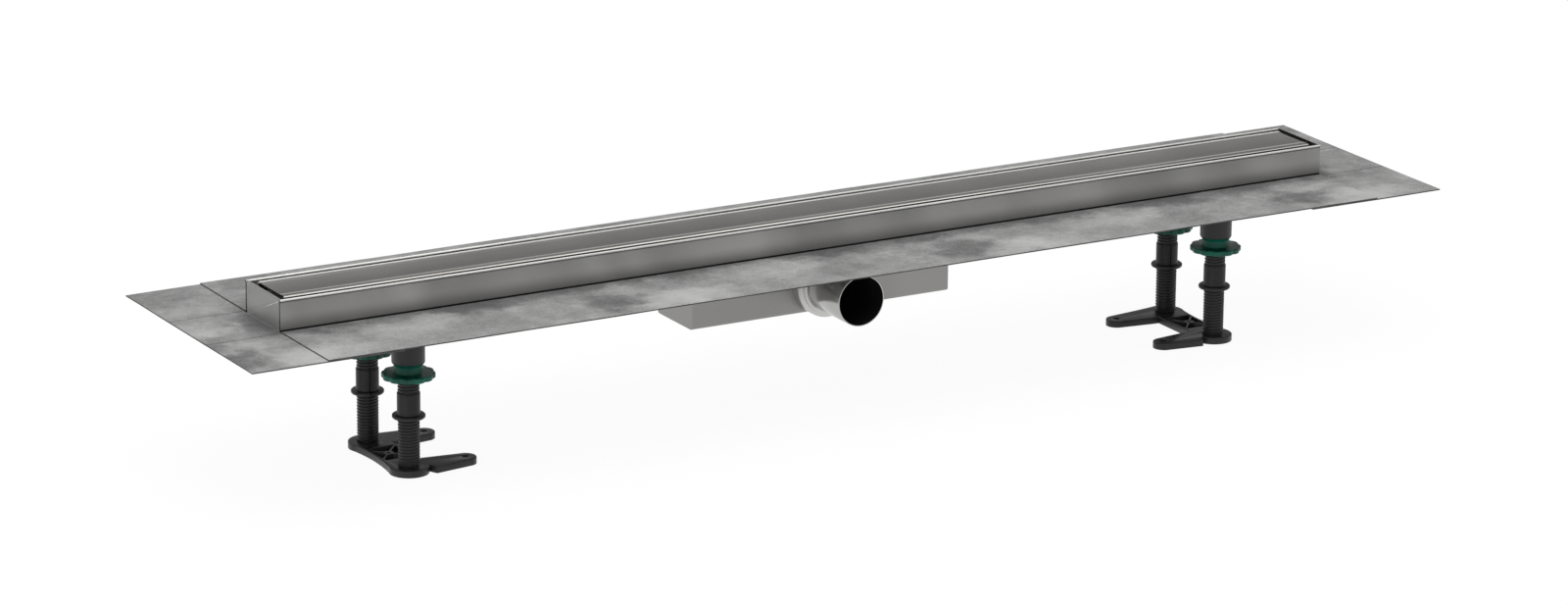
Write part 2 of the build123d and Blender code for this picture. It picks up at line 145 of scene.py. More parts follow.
def drawLine(points):                   # chain of edges, drawn by extruding one corner of a small plane
    bpy.ops.mesh.primitive_plane_add(size=2 * mm, location=(0, 0, 0))
    piece = bpy.context.object
    openMesh(piece, "VERT")
    pick(piece, "VERT", lambda corner: corner.co.x < 0 or corner.co.y < 0)
    bpy.ops.mesh.delete(type="VERT")
    bpy.ops.mesh.select_all(action="SELECT")
    here = Vector((mm, mm, 0))
    bpy.ops.transform.translate(value=Vector(points[0]) - here)
    for first, second in zip(points, points[1:]):
        bpy.ops.mesh.extrude_vertices_move(TRANSFORM_OT_translate={"value": Vector(second) - Vector(first)})
    closeMesh()
    return piece


def turn(profile, steps):               # solid turned about Z from (radius, height) points in millimetres
    piece = drawLine([(radius * mm, 0, height * mm) for radius, height in profile])
    openMesh(piece, "VERT")
    bpy.ops.mesh.select_all(action="SELECT")
    bpy.ops.mesh.spin(steps=steps, angle=2 * math.pi, center=(0, 0, 0), axis=(0, 0, 1))
    closeMesh()
    mergeLoose(piece)
    faceOut(piece)
    return piece


def cut(piece, where, ahead):           # takes away what lies ahead of a plane, and closes the cut
    openMesh(piece, "VERT")
    bpy.ops.mesh.select_all(action="SELECT")
    bpy.ops.mesh.bisect(plane_co=where, plane_no=ahead, use_fill=True, clear_outer=True)
    closeMesh()


def twin(piece, place):                 # copy with a mesh of its own
    other = piece.copy()
    other.data = piece.data.copy()
    bpy.context.scene.collection.objects.link(other)
    other.location = place
    return other


def discard(piece):
    mesh = piece.data
    bpy.data.objects.remove(piece)
    bpy.data.meshes.remove(mesh)


def copyOf(node):                       # merged copy of a node's mesh, to be worked on
    piece = nodes[node].copy()
    piece.data = nodes[node].data.copy()
    piece.parent = None
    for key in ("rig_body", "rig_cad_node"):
        del piece[key]
    bpy.context.scene.collection.objects.link(piece)
    mergeLoose(piece)
    openMesh(piece)
    bpy.ops.mesh.select_all(action="SELECT")
    bpy.ops.mesh.dissolve_limited(angle_limit=flatWithin)
    closeMesh()
    return piece


# Shader maths as plain expressions: a wire is a node's output, and an operator on it adds a Math node
class Wire:
    def __init__(self, nodeTree, socket):
        self.nodeTree = nodeTree
        self.socket = socket

    def maths(self, operation, *values):
        return self.nodeTree.add("ShaderNodeMath", {"operation": operation},
                                 **{"input%d" % number: value for number, value in enumerate(values)})

    def __add__(self, other):
        return self.maths("ADD", self, other)

    def __radd__(self, other):
        return self.maths("ADD", other, self)

    def __sub__(self, other):
        return self.maths("SUBTRACT", self, other)

    def __rsub__(self, other):
        return self.maths("SUBTRACT", other, self)

    def __mul__(self, other):
        return self.maths("MULTIPLY", self, other)

    def __rmul__(self, other):
        return self.maths("MULTIPLY", other, self)

    def __truediv__(self, other):
        return self.maths("DIVIDE", self, other)

    def __rtruediv__(self, other):
        return self.maths("DIVIDE", other, self)

    def __abs__(self):
        return self.maths("ABSOLUTE", self)

    def swing(self, spread):            # a noise, as a swing to both sides of zero
        return (self - 0.5) * spread

    def wrapped(self, span):            # brought back to within half a span of zero
        return self.maths("WRAP", self, span / 2, -span / 2)


class NodeTree:
    def __init__(self, tree):
        self.tree = tree
        self.tree.nodes.clear()

    def feed(self, socket, value):
        if isinstance(value, Wire):
            self.tree.links.new(value.socket, socket)
        elif socket.type == "RGBA" and len(value) == 3:
            socket.default_value = (*value, 1)
        else:
            socket.default_value = value

    def add(self, kind, settings, output=0, **sockets):     # input0, input1 and so on are sockets by number
        node = self.tree.nodes.new(kind)
        stops = settings.pop("stops", [])
        for name, value in settings.items():
            setattr(node, name, value)
        for step in stops[2:]:
            node.color_ramp.elements.new(0.5)
        for number, (position, colour) in enumerate(stops):
            node.color_ramp.elements[number].position = position
            node.color_ramp.elements[number].color = (*colour, 1)
        for name, value in sockets.items():
            key = int(name[5:]) if name.startswith("input") else name.replace("_", " ")
            self.feed(node.inputs[key], value)
        return Wire(self, node.outputs[output]) if node.outputs else node   # the last node has no outputs


class Finish(NodeTree):
    def __init__(self, name):
        self.material = bpy.data.materials.new(name)
        self.material.use_nodes = True
        super().__init__(self.material.node_tree)
        self.shader = self.tree.nodes.new("ShaderNodeBsdfPrincipled")
        self.out = self.add("ShaderNodeOutputMaterial", {}, Surface=Wire(self, self.shader.outputs[0]))
        self.place = self.add("ShaderNodeTexCoord", {}, output="Object")

    def stretched(self, scale, turn=(0, 0, 0)):
        return self.add("ShaderNodeMapping", {}, Vector=self.place, Scale=scale, Rotation=turn)

    def noise(self, scale, detail, rough, where=None, warp=0):
        return self.add("ShaderNodeTexNoise", {}, Vector=where or self.place, Scale=scale,
                        Detail=detail, Roughness=rough, Distortion=warp)

    def range(self, value, low, high, newLow=0, newHigh=1):
        return self.add("ShaderNodeMapRange", {"interpolation_type": "SMOOTHSTEP"}, Value=value,
                        From_Min=low, From_Max=high, To_Min=newLow, To_Max=newHigh)

    def band(self, value, low, high, soft=0.0005):      # 1 between low and high
        return self.range(value, low - soft, low) * self.range(value, high, high + soft, 1, 0)

    def mixed(self, factor, first, second):     # the Mix node's colour sockets
        return self.add("ShaderNodeMix", {"data_type": "RGBA"}, output=2,
                        input0=factor, input6=first, input7=second)

    def axis(self, letter):             # one coordinate of the piece's own place
        return self.add("ShaderNodeSeparateXYZ", {}, output=letter, Vector=self.place)

    def bump(self, height, strength, depth, **under):
        return self.add("ShaderNodeBump", {}, output="Normal", Height=height, Strength=strength,
                        Distance=depth, **under)

    def surface(self, **sockets):
        for name, value in sockets.items():
            self.feed(self.shader.inputs[name.replace("_", " ")], value)
        return self.material


# Satin steel: soft zones across the sheet, faint stains, and a fine grain along one direction. Each noise
# has a detail and a roughness, and each span says between which of its values the tone changes
steelGrain = {
    "along": 16, "across": 1700, "zoneAcross": 0.15,
    "scratchNoise": (4, 0.6), "zoneNoise": (1.5, 0.4), "stainNoise": (3, 0.5),
    "zoneSpan": (0.34, 0.66), "stainSpan": (0.3, 0.7),
    "zoneShare": 0.6, "stainShare": 0.3, "scratchShare": 0.1, "roughSpread": 0.05, "bumpDepth": 0.00002,
}


def oneWay(letter, along, across):      # a scale that differs along one axis
    return tuple(along if axis == letter else across for axis in "XYZ")


def brushedSteel(name, look):
    finish = Finish(name)
    grain = steelGrain
    fine = finish.stretched(oneWay(look["grain"], grain["along"], grain["across"]))
    wide = finish.stretched(oneWay(look["grain"], 1, grain["zoneAcross"]))
    scratches = finish.noise(1, *grain["scratchNoise"], fine)
    zones = finish.noise(look["zoneScale"], *grain["zoneNoise"], wide)
    stains = finish.noise(look["stainScale"], *grain["stainNoise"])
    shade = finish.range(zones, *grain["zoneSpan"]) * grain["zoneShare"]
    shade = shade + finish.range(stains, *grain["stainSpan"]) * grain["stainShare"]
    shade = shade + scratches * grain["scratchShare"]
    colour = finish.mixed(shade, look["dark"], look["light"])
    rough = look["rough"] + scratches.swing(grain["roughSpread"]) + stains.swing(grain["roughSpread"])
    metal = look.get("metal", 1.0)
    normal = finish.bump(scratches, look["bump"], grain["bumpDepth"])
    if "footFade" in look:              # rails: painted shade to the foot, black at the joint, painted shadow in the crease under the bead
        level = finish.axis("Z")
        low, high, share = look["footFade"]
        # painted shade, darker towards the foot of the wall
        colour = finish.mixed(finish.range(level, low, high, share, 0), colour, look["paintedShade"])
        colour = finish.mixed(finish.range(level, *look["sealLine"], 1, 0), colour, look["jointBlackAndShade"])
        low, high, share = look["creaseShade"]
        # painted shadow in the crease under the bead, in the joint's black
        colour = finish.mixed(finish.band(level, low, high) * share, colour, look["jointBlackAndShade"])
        rough = rough + finish.range(level, *look["beadFoot"], look["wallRough"], 0)
    if "frontFade" in look:             # cover: painted shade to the front and before the rear edge, a painted highlight on the rear edge that rolls over
        across = finish.axis("Y")
        low, high, share = look["frontFade"]
        fade = finish.range(across, low, high, share, 0) * finish.range(across, *look["frontBend"], 0, 1)
        colour = finish.mixed(fade, colour, look["paintedShade"])
        low, high, share = look["creaseShade"]
        colour = finish.mixed(finish.band(across, low, high) * share, colour, look["paintedShade"])
        # painted highlight along the rear edge, made less metallic there
        edge = finish.range(across, *look["highlightEdge"])
        colour = finish.mixed(edge, colour, look["paintedHighlight"])
        metal = metal - edge * look["highlightMetalDrop"]
        low, high, depth = look["edgeRoll"]
        normal = finish.bump(1 - finish.range(across, low, high), 1.0, depth, Normal=normal)
    return finish.surface(Base_Color=colour, Metallic=metal, Roughness=rough, Normal=normal)


steelLooks = {
    "frameSteel": {"grain": "X", "dark": (0.62, 0.612, 0.60), "light": (0.76, 0.752, 0.74), "rough": 0.24,
                   "zoneScale": 7, "stainScale": 16, "bump": 0.04, "metal": 0.75},
    "railSteel": {"grain": "X", "dark": (0.64, 0.634, 0.622), "light": (0.74, 0.732, 0.72), "rough": 0.20,
                  "zoneScale": 7, "stainScale": 16, "bump": 0.04, "metal": 0.75,
                  # the rails: painted shade towards the wall's foot, and a painted shadow in the crease
                  # under the bead
                  "footFade": (0.1535, 0.170, 0.85), "paintedShade": (0.27, 0.266, 0.26),
                  "sealLine": (0.1541, 0.1548), "jointBlackAndShade": (0.02, 0.02, 0.02),
                  "beadFoot": (0.1795, 0.1815), "wallRough": 0.16, "creaseShade": (0.1805, 0.1812, 0.6)},
    "endSteel": {"grain": "Y", "dark": (0.54, 0.538, 0.53), "light": (0.70, 0.697, 0.69), "rough": 0.24,
                 "zoneScale": 12, "stainScale": 20, "bump": 0.02, "metal": 0.85},
    "coverSteel": {"grain": "X", "dark": (0.53, 0.515, 0.485), "light": (0.68, 0.665, 0.635), "rough": 0.20,
                   "zoneScale": 5, "stainScale": 12, "bump": 0.05,
                   # the cover: painted shade towards the front and in a band before the rear edge, and a
                   # painted highlight on the rear edge
                   "frontFade": (-0.019, 0.022, 0.62), "frontBend": (-0.0272, -0.0262),
                   "paintedShade": (0.27, 0.262, 0.25), "creaseShade": (0.0190, 0.0220, 0.45),
                   "highlightEdge": (0.0222, 0.0230), "paintedHighlight": (0.90, 0.89, 0.87), "highlightMetalDrop": 0.35,
                   "edgeRoll": (0.0240, 0.0290, 0.0022)},
    "boxSteel": {"grain": "X", "dark": (0.247, 0.243, 0.236), "light": (0.292, 0.288, 0.281), "rough": 0.36,
                 "zoneScale": 8, "stainScale": 18, "bump": 0.05},
    "pipeSteel": {"grain": "Y", "dark": (0.39, 0.387, 0.38), "light": (0.50, 0.497, 0.488), "rough": 0.22,
                  "zoneScale": 14, "stainScale": 30, "bump": 0.05},
    "collarSteel": {"grain": "Y", "dark": (0.50, 0.497, 0.488), "light": (0.60, 0.596, 0.586),
                    "rough": 0.38, "zoneScale": 14, "stainScale": 30, "bump": 0.05},
    "sieveSteel": {"grain": "X", "dark": (0.52, 0.52, 0.51), "light": (0.64, 0.64, 0.63), "rough": 0.25,
                   "zoneScale": 20, "stainScale": 40, "bump": 0.05},
    "zincPlate": {"grain": "Z", "dark": (0.48, 0.49, 0.50), "light": (0.62, 0.63, 0.65), "rough": 0.35,
                  "zoneScale": 60, "stainScale": 150, "bump": 0.08},
    # dark cut ends of the rails, and painted shade in the slot round the cover
    "cutEndAndSlotShade": {"grain": "Z", "dark": (0.05, 0.048, 0.045), "light": (0.11, 0.105, 0.10), "rough": 0.5,
                 "zoneScale": 80, "stainScale": 200, "bump": 0.2},
}


# Moulded plastic with a faint grain and soft flow marks
mouldGrain = {
    "grainScale": 2600, "grainNoise": (2, 0.5), "grainRough": 0.14, "bumpDepth": 0.00003,
    "flowScale": 30, "flowNoise": (3, 0.5), "flowSquash": (1, 1, 0.4), "flowWarp": 0.6,
    "flowSpan": (0.3, 0.7), "flowRough": 0.12, "upward": (0.6, 0.95),
}


def mouldedPlastic(name, look):
    finish = Finish(name)
    mould = mouldGrain
    grain = finish.noise(mould["grainScale"], *mould["grainNoise"])
    squashed = finish.stretched(mould["flowSquash"])
    flow = finish.noise(mould["flowScale"], *mould["flowNoise"], squashed, mould["flowWarp"])
    colour = finish.mixed(finish.range(flow, *mould["flowSpan"]), look["dark"], look["light"])
    if "topShade" in look:              # darker on the faces that look up
        facing = finish.add("ShaderNodeNewGeometry", {}, output="Normal")
        upward = finish.add("ShaderNodeSeparateXYZ", {}, output="Z", Vector=facing)
        shade = finish.range(upward, *mould["upward"], 0, look["topShade"])
        colour = finish.mixed(shade, colour, look["dark"])
    rough = look["rough"] + grain.swing(mould["grainRough"]) + flow.swing(mould["flowRough"])
    return finish.surface(Base_Color=colour, Roughness=rough, Specular_IOR_Level=look["gloss"],
                          Normal=finish.bump(grain, look["bump"], mould["bumpDepth"]))


plasticLooks = {
    "socketBlack": {"dark": (0.014, 0.014, 0.015), "light": (0.022, 0.022, 0.023), "rough": 0.42,
                    "gloss": 0.3, "bump": 0.25},
    "legBlack": {"dark": (0.012, 0.012, 0.013), "light": (0.020, 0.020, 0.021), "rough": 0.40,
                 "gloss": 0.3, "bump": 0.25},
    "footBlack": {"dark": (0.012, 0.012, 0.013), "light": (0.020, 0.020, 0.021), "rough": 0.38,
                  "gloss": 0.35, "bump": 0.3},
    "nutGreen": {"dark": (0.0010, 0.046, 0.030), "light": (0.0022, 0.108, 0.070), "rough": 0.36,
                 "gloss": 0.25, "bump": 0.2, "topShade": 0.8},
    # painted shade inside the outlet pipe's bore
    "boreShade": {"dark": (0.004, 0.004, 0.004), "light": (0.008, 0.008, 0.008), "rough": 0.6,
                  "gloss": 0.1, "bump": 0.2},
    "trapGrey": {"dark": (0.13, 0.13, 0.135), "light": (0.18, 0.18, 0.185), "rough": 0.45,
                 "gloss": 0.4, "bump": 0.2},
    "softBlack": {"dark": (0.010, 0.010, 0.010), "light": (0.018, 0.018, 0.018), "rough": 0.65,
                  "gloss": 0.2, "bump": 0.35},
    "cutEdge": {"dark": (0.045, 0.045, 0.045), "light": (0.085, 0.085, 0.084), "rough": 0.8,
                "gloss": 0.1, "bump": 0.3},     # of the fleece
}


# Grey fleece on a sealing sheet: ragged dark and pale pools, mottling, smears and a speckle of lint
fleeceLook = {
    "dark": (0.060, 0.060, 0.0595), "light": (0.36, 0.36, 0.356), "base": 0.49,
    "repeat": 0.383, "ragged": 0.07, "raggedAlong": 26, "raggedAcross": 31, "raggedNoise": (5, 0.62),
    "pools": (                          # place along and across, reach in both, how much lighter
        (-0.260, -0.099, 0.042, 0.038, -0.27), (-0.285, -0.048, 0.050, 0.022, -0.12),
        (-0.388, -0.046, 0.060, 0.032, -0.20), (-0.395, -0.100, 0.035, 0.040, -0.10),
        (-0.540, -0.044, 0.045, 0.018, -0.10), (-0.455, -0.074, 0.070, 0.034, 0.15),
        (-0.556, -0.118, 0.048, 0.036, 0.18), (-0.210, -0.120, 0.050, 0.040, 0.18),
        (-0.240, -0.066, 0.030, 0.024, 0.14), (-0.585, -0.008, 0.030, 0.055, -0.22),
        (-0.640, 0.002, 0.042, 0.036, 0.23), (-0.620, 0.060, 0.050, 0.026, 0.10),
        (-0.630, 0.118, 0.060, 0.036, -0.14), (-0.530, 0.122, 0.050, 0.034, -0.16),
        (-0.450, 0.095, 0.065, 0.040, 0.14), (-0.350, 0.070, 0.060, 0.030, -0.20),
    ),
    "mottleScale": 46, "mottleNoise": (7, 0.66), "mottleWarp": 0.5, "mottled": 0.50,
    "lintScale": 480, "lintNoise": (3, 0.7), "linty": 0.50, "fibreScale": 1500, "fibreNoise": (3, 0.7),
    "smearScale": 60, "smearNoise": (5, 0.6), "smearSquash": (0.6, 1.3, 1), "smearTurn": (0, 0, 0.5),
    "smearWarp": 1.1, "smearSpan": (0.54, 0.72), "smeared": 0.14,
    "foot": (0.038, 0.086), "footShade": -0.21, "frameEnd": 0.575, "frameFade": 0.02, "endShare": 0.2,
    "rough": 0.8, "roughSpread": 0.2, "gloss": 0.25, "sheen": 0.1, "sheenRough": 0.5,
    "bump": 0.35, "bumpDepth": 0.00012,
}


def fleeceCloth(name, look):
    finish = Finish(name)
    raggedAlong = finish.noise(look["raggedAlong"], *look["raggedNoise"])
    raggedAcross = finish.noise(look["raggedAcross"], *look["raggedNoise"])
    along = finish.axis("X") + raggedAlong.swing(look["ragged"])
    across = finish.axis("Y") + raggedAcross.swing(look["ragged"])
    tone = look["base"]
    for x, y, reachX, reachY, strength in look["pools"]:
        stepX = (along - x).wrapped(look["repeat"]) / reachX
        stepY = (across - y) / reachY
        tone = tone + finish.range(stepX * stepX + stepY * stepY, 0, 1, strength, 0)
    mottle = finish.noise(look["mottleScale"], *look["mottleNoise"], warp=look["mottleWarp"])
    slanted = finish.stretched(look["smearSquash"], look["smearTurn"])
    smears = finish.noise(look["smearScale"], *look["smearNoise"], slanted, look["smearWarp"])
    fibres = finish.noise(look["fibreScale"], *look["fibreNoise"])
    lint = finish.noise(look["lintScale"], *look["lintNoise"])
    tone = tone + mottle.swing(look["mottled"]) + lint.swing(look["linty"])
    tone = tone + finish.range(smears, *look["smearSpan"]) * look["smeared"]
    outward = abs(finish.axis("X"))     # the frame's foot shades the sheets beside it, less past its ends
    low = look["frameEnd"]
    beside = finish.range(outward, low, low + look["frameFade"], 1, look["endShare"])
    tone = tone + finish.range(abs(across), *look["foot"], look["footShade"], 0) * beside
    rough = look["rough"] + fibres.swing(look["roughSpread"])
    return finish.surface(Base_Color=finish.mixed(finish.range(tone, 0, 1), look["dark"], look["light"]),
                          Roughness=rough, Specular_IOR_Level=look["gloss"],
                          Sheen_Weight=look["sheen"], Sheen_Roughness=look["sheenRough"],
                          Normal=finish.bump((fibres + lint) / 2, look["bump"], look["bumpDepth"]))


finishes = {name: brushedSteel(name, look) for name, look in steelLooks.items()}
finishes.update({name: mouldedPlastic(name, look) for name, look in plasticLooks.items()})
finishes["fleece"] = fleeceCloth("fleece", fleeceLook)
print("finishes made:", len(finishes))


# Each carried-over node gets its finish
nodeFinish = {
    "base_plate": "frameSteel", "front_rail": "railSteel", "rear_rail": "railSteel",
    "left_end_plate": "endSteel", "right_end_plate": "endSteel", "cover_plate": "coverSteel",
    "trap_box": "boxSteel", "outlet_collar": "collarSteel", "outlet_pipe": "pipeSteel",
    "trap_insert": "trapGrey", "trap_cup": "trapGrey", "hair_sieve": "sieveSteel",
    "trap_seal": "softBlack", "outlet_seal": "softBlack",
    "front_joint_seal": "softBlack", "rear_joint_seal": "softBlack",
    "weld_studs": "zincPlate", "stud_nuts": "zincPlate",
    "left_foot_plate": "footBlack", "right_foot_plate": "footBlack",
    "front_sealing_strip": "fleece", "rear_sealing_strip": "fleece",
}
for number in range(1, 5):
    nodeFinish["cover_bracket_%d" % number] = "coverSteel"
for side in ("left", "right"):
    nodeFinish[side + "_end_sheet"] = "fleece"
    for row in ("front", "rear"):
        nodeFinish["%s_%s_corner_sheet" % (side, row)] = "fleece"
for leg in legs:
    nodeFinish[leg + "_leg_socket"] = "socketBlack"
    nodeFinish[leg + "_spindle"] = "legBlack"
    nodeFinish[leg + "_stop_sleeve"] = "legBlack"
    nodeFinish[leg + "_adjusting_nut"] = "nutGreen"
for name, node in nodes.items():
    node.data.materials.clear()
    node.data.materials.append(finishes[nodeFinish[name]])
print("nodes finished:", len(nodes))


# Threaded leg screws, in millimetres: one is modelled and copied to each leg
spindleShape = {
    "pitch": 3.0, "crest": 10.3, "root": 9.35, "steps": 56, "waist": 9.3, "waistLap": 0.5,
    "foot": 2.1, "waistFoot": 53.7, "waistTop": 78.0, "top": 121.8, "spareTurns": 2, "smooth": 50,
    "form": ((0.0, 0), (0.16, 0), (0.36, 1), (0.60, 1), (0.80, 0), (1.0, 0)),   # shares of pitch and depth
}


def threadedLength(low, high):
    shape = spindleShape
    pitch = shape["pitch"]
    depth = shape["crest"] - shape["root"]
    start = low - shape["spareTurns"] * pitch
    piece = drawLine([((shape["root"] + rise * depth) * mm, 0, (start + share * pitch) * mm)
                      for share, rise in shape["form"]])
    turns = int((high - low) / pitch) + 2 * shape["spareTurns"] + 1
    modify(piece, "SCREW", angle=2 * math.pi, screw_offset=pitch * mm, iterations=turns,
           steps=shape["steps"], render_steps=shape["steps"])
    mergeLoose(piece)
    cut(piece, (0, 0, low * mm), (0, 0, -1))
    cut(piece, (0, 0, high * mm), (0, 0, 1))
    faceOut(piece)
    return piece


def makeSpindles():
    shape = spindleShape
    lower = threadedLength(shape["foot"], shape["waistFoot"])
    upper = threadedLength(shape["waistTop"], shape["top"])
    waistFoot = shape["waistFoot"] - shape["waistLap"]
    waistTop = shape["waistTop"] + shape["waistLap"]
    waist = turn([(0, waistFoot), (shape["waist"], waistFoot), (shape["waist"], waistTop), (0, waistTop)],
                 shape["steps"])
    for part in (waist, upper):
        modify(lower, "BOOLEAN", object=part, operation="UNION", solver="EXACT")
        discard(part)
    for leg in legs:
        low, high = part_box(leg + "_spindle")
        place = ((low[0] + high[0]) / 2, (low[1] + high[1]) / 2, 0)
        settle(twin(lower, place), leg + "_leg_screw", "legBlack", leg + "_spindle", shape["smooth"])
    discard(lower)


makeSpindles()
print("leg screws made")


# Moulded and turned pieces with their sharp edges eased, as they come from the mould or the lathe
easedAngles = {"sharpFrom": 32, "smooth": 40}
easedOnLegs = {
    "adjusting_nut": {"round": 0.35, "steps": 2, "finish": "nutGreen"},
    "leg_socket": {"round": 0.5, "steps": 2, "finish": "socketBlack"},
    "stop_sleeve": {"round": 0.25, "steps": 2, "finish": "legBlack"},
}
easedSingles = {
    "front_joint_seal": {"round": 0.45, "steps": 3, "finish": "softBlack"},
    "rear_joint_seal": {"round": 0.45, "steps": 3, "finish": "softBlack"},
    "left_foot_plate": {"round": 0.7, "steps": 2, "finish": "footBlack"},
    "right_foot_plate": {"round": 0.7, "steps": 2, "finish": "footBlack"},
    "outlet_collar": {"round": 0.6, "steps": 3, "finish": "collarSteel"},
}
spigot = {"round": 0.25, "steps": 2, "finish": "pipeSteel", "wall": 0.9}
pipeLow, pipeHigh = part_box("outlet_pipe")
pipeLevel = (pipeLow[2] + pipeHigh[2]) / 2
boreRadius = (pipeHigh[2] - pipeLow[2]) / 2 - spigot["wall"] * mm


def easeEdges(node, name, look, others=()):
    piece = copyOf(node)
    modify(piece, "BEVEL", width=look["round"] * mm, segments=look["steps"], limit_method="ANGLE",
           angle_limit=math.radians(easedAngles["sharpFrom"]))
    settle(piece, name, look["finish"], node, easedAngles["smooth"], others)


def inSpigot(face, corners):            # faces of the outlet pipe's bore, which take painted shade
    return all(math.hypot(corner.x, corner.z - pipeLevel) < boreRadius for corner in corners)


for leg in legs:
    for kind, look in easedOnLegs.items():
        easeEdges(leg + "_" + kind, leg + "_eased_" + kind, look)
for node, look in easedSingles.items():
    easeEdges(node, "eased_" + node, look)
easeEdges("outlet_pipe", "outlet_spigot", spigot, [("boreShade", inSpigot)])
print("edges eased")


# The frame's steel is dark where the sheet is cut at the rails' ends, with painted shade down in the slot
# round the cover
slotSides = {                       # how far a face looks along or across, and how far forward it may lie
    "cutEnd": 0.9, "railFlank": -0.30, "skirt": 0.93, "railBack": -0.0384, "smooth": 30,
}


def cutOrInSlot(face, corners):         # the slot is looked into over the front rail only
    inSlot = face.normal.y > slotSides["railFlank"] and slotSides["railBack"] < face.center.y < 0
    return abs(face.normal.x) > slotSides["cutEnd"] or inSlot


def shadeSlot(node, name, finish, test):
    settle(copyOf(node), name, finish, node, slotSides["smooth"], [("cutEndAndSlotShade", test)])


for row in ("front", "rear"):
    shadeSlot(row + "_rail", "cut_%s_rail" % row, "railSteel", cutOrInSlot)
shadeSlot("cover_plate", "shaded_cover_plate", "coverSteel",
          lambda face, corners: abs(face.normal.y) > slotSides["skirt"])
for side in ("left", "right"):
    shadeSlot(side + "_end_plate", "shaded_%s_end_plate" % side, "endSteel",
              lambda face, corners: face.normal.x * face.center.x < 0)
print("slot shaded")


# Sealing sheets, laid flat with a little lift away from the channel
sheetShape = {
    "thick": 1.2, "edgeRound": 0.28, "edgeSteps": 2, "sharpFrom": 60, "grid": 0.011, "edgeFrom": 0.93,
    "smooth": 40,
}
sheetLift = {"most": 0.00035, "calmTo": 0.052, "liveFrom": 0.110,
             "along": 23, "across": 17, "slant": 11, "bend": 1.3, "bendAlong": 9, "bendAcross": 31}
stripCut = {"flat": (0.099, 1.150)}
endCut = {"flat": (0.0759, 0.0807)}
cornerCut = {"flat": (0.153, 0.09775), "area": 0.0142875, "notch": (0.5753, 0.04935)}


def liftAt(x, y):                       # how far a sheet lifts at a place, the same for every layer
    lift = sheetLift
    away = min(max((abs(y) - lift["calmTo"]) / (lift["liveFrom"] - lift["calmTo"]), 0), 1)
    bend = lift["bend"] * math.sin(lift["bendAcross"] * y + lift["bendAlong"] * x)
    wave = 0.5 + 0.5 * math.sin(lift["along"] * x + bend) * math.cos(lift["across"] * y - lift["slant"] * x)
    return lift["most"] * away * away * wave


def cutAcross(where, ahead):            # cuts the whole sheet, with nothing taken away
    bpy.ops.mesh.select_all(action="SELECT")
    bpy.ops.mesh.bisect(plane_co=where, plane_no=ahead)


def makeSheet(node, name, pieceCut):
    low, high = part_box(node)
    size = (high[0] - low[0], high[1] - low[1])
    middle = ((low[0] + high[0]) / 2, (low[1] + high[1]) / 2, low[2])
    bpy.ops.mesh.primitive_plane_add(size=1, location=middle)
    piece = bpy.context.object
    piece.scale = (size[0], size[1], 1)
    bpy.ops.object.transform_apply(location=True, rotation=True, scale=True)
    openMesh(piece, "VERT")
    for axis, ahead in ((0, (1, 0, 0)), (1, (0, 1, 0))):
        steps = max(2, round(size[axis] / sheetShape["grid"]))
        for step in range(1, steps):
            there = low[axis] + size[axis] * step / steps
            cutAcross([there * part for part in ahead], ahead)
    if "notch" in pieceCut:             # a corner sheet leaves the channel's corner free
        notchX, notchY = pieceCut["notch"]
        cutAcross((math.copysign(notchX, middle[0]), 0, 0), (1, 0, 0))
        cutAcross((0, math.copysign(notchY, middle[1]), 0), (0, 1, 0))
        bpy.ops.mesh.select_all(action="DESELECT")
        bpy.ops.mesh.select_mode(type="FACE")
        pick(piece, "FACE", lambda face: abs(face.calc_center_median().x) < notchX
             and abs(face.calc_center_median().y) < notchY)
        bpy.ops.mesh.delete(type="FACE")
    closeMesh()
    for corner in piece.data.vertices:
        corner.co.z += liftAt(corner.co.x, corner.co.y)
    modify(piece, "SOLIDIFY", thickness=sheetShape["thick"] * mm, offset=1, use_even_offset=True)
    modify(piece, "BEVEL", width=sheetShape["edgeRound"] * mm, segments=sheetShape["edgeSteps"],
           limit_method="ANGLE", angle_limit=math.radians(sheetShape["sharpFrom"]))
    settle(piece, name, "fleece", node, sheetShape["smooth"],
           [("cutEdge", lambda face, corners: abs(face.normal.z) < sheetShape["edgeFrom"])])


for row in ("front", "rear"):
    makeSheet(row + "_sealing_strip", row + "_fleece_strip", stripCut)
for side in ("left", "right"):
    makeSheet(side + "_end_sheet", side + "_end_fleece", endCut)
    for row in ("front", "rear"):
        corner = "%s_%s_corner_" % (side, row)
        makeSheet(corner + "sheet", corner + "fleece", cornerCut)
print("sheets laid")


# The camera stands where the photograph was taken from
view = {"lens": 143.28, "sensor": 36, "clipEnd": 100, "place": (-2.904, -4.996, 1.8265),
        "heading": 29.979, "down": 16.728, "roll": 0.553}


def setCamera():
    camera = bpy.data.objects.new("camera", bpy.data.cameras.new("camera"))
    bpy.context.scene.collection.objects.link(camera)
    camera.data.lens = view["lens"]
    camera.data.sensor_width = view["sensor"]
    camera.data.clip_end = view["clipEnd"]
    heading = math.radians(view["heading"])
    down = math.radians(view["down"])
    roll = math.radians(view["roll"])
    level = Vector((math.cos(heading), -math.sin(heading), 0))
    forward = Vector((math.sin(heading), math.cos(heading), 0))
    ahead = forward * math.cos(down) - Vector((0, 0, math.sin(down)))
    upright = level.cross(ahead)
    right = math.cos(roll) * level + math.sin(roll) * upright
    top = math.cos(roll) * upright - math.sin(roll) * level
    turned = Matrix((right, top, -ahead)).transposed().to_4x4()
    camera.matrix_world = Matrix.Translation(view["place"]) @ turned
    bpy.context.scene.camera = camera


setCamera()
print("camera set")


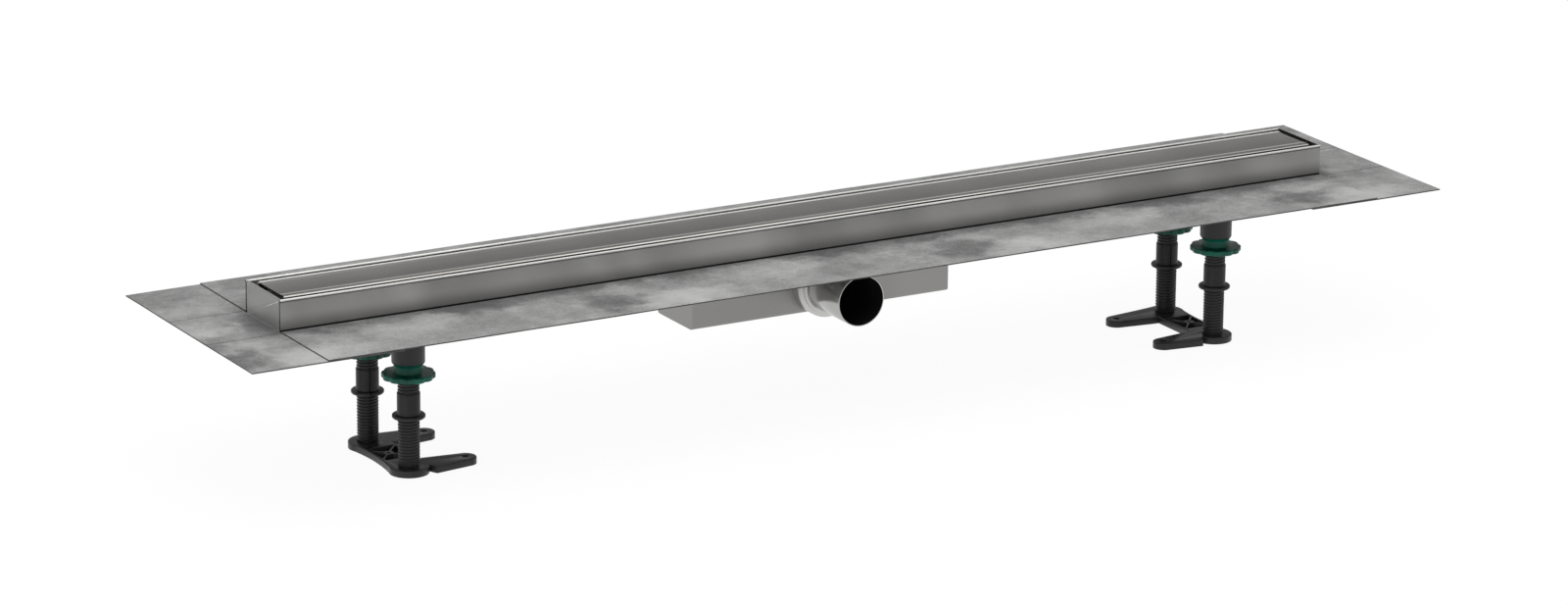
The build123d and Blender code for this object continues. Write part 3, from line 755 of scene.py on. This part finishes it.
# Floor, world and lamps
studio = {
    "floorHalf": 30, "floorLevel": -0.0002, "floorColour": (0.90, 0.90, 0.90), "floorRough": 0.9,
    "floorGloss": 0.1, "ownWhite": 0.94,
    "sky": ((0.0, 0.9), (0.08, 0.8), (0.20, 0.24), (0.41, 0.22), (0.58, 0.9), (0.78, 1.5), (1.0, 1.7)),
}


def setFloor():
    deselect()
    bpy.ops.mesh.primitive_plane_add(size=2 * studio["floorHalf"], location=(0, 0, studio["floorLevel"]))
    floor = bpy.context.object
    floor.name = "floor"
    finish = Finish("floorPaint")
    finish.surface(Base_Color=studio["floorColour"], Roughness=studio["floorRough"],
                   Specular_IOR_Level=studio["floorGloss"])
    white = finish.add("ShaderNodeEmission", {}, Color=(1, 1, 1), Strength=1.0)
    seen = [finish.add("ShaderNodeLightPath", {}, output="Is %s Ray" % kind)
            for kind in ("Camera", "Glossy", "Transmission")]
    mix = finish.add("ShaderNodeMixShader", {}, input0=(seen[0] + seen[1] + seen[2]) * studio["ownWhite"],
                     input1=Wire(finish, finish.shader.outputs[0]), input2=white)
    finish.feed(finish.out.inputs["Surface"], mix)
    floor.data.materials.append(finish.material)


def setWorld():                         # pale at the horizon, darker over it, bright overhead
    world = bpy.data.worlds.new("studio")
    bpy.context.scene.world = world
    world.use_nodes = True
    sky = NodeTree(world.node_tree)
    place = sky.add("ShaderNodeTexCoord", {}, output="Generated")
    height = sky.add("ShaderNodeSeparateXYZ", {}, output="Z", Vector=place)
    stops = [(position, (level, level, level)) for position, level in studio["sky"]]
    tone = sky.add("ShaderNodeValToRGB", {"stops": stops}, Fac=height)
    sky.add("ShaderNodeOutputWorld", {}, Surface=sky.add("ShaderNodeBackground", {}, Color=tone))


lampAim = (0, 0, 0.1)
lamps = {
    "overhead": {"place": (-0.6, -0.8, 3.2), "size": (3.2, 2.4), "power": 26},
    "leftFill": {"place": (-3.4, -1.6, 1.6), "size": (1.6, 1.6), "power": 22},
}


def setLamps():
    for name, lamp in lamps.items():
        light = bpy.data.lights.new(name, "AREA")
        light.shape = "RECTANGLE"
        light.size, light.size_y = lamp["size"]
        light.energy = lamp["power"]
        holder = bpy.data.objects.new(name, light)
        bpy.context.scene.collection.objects.link(holder)
        holder.location = lamp["place"]
        toPiece = Vector(lampAim) - holder.location
        holder.rotation_euler = toPiece.to_track_quat("-Z", "Y").to_euler()


setFloor()
setWorld()
setLamps()
bpy.context.scene.view_settings.view_transform = "Standard"
print("studio set")
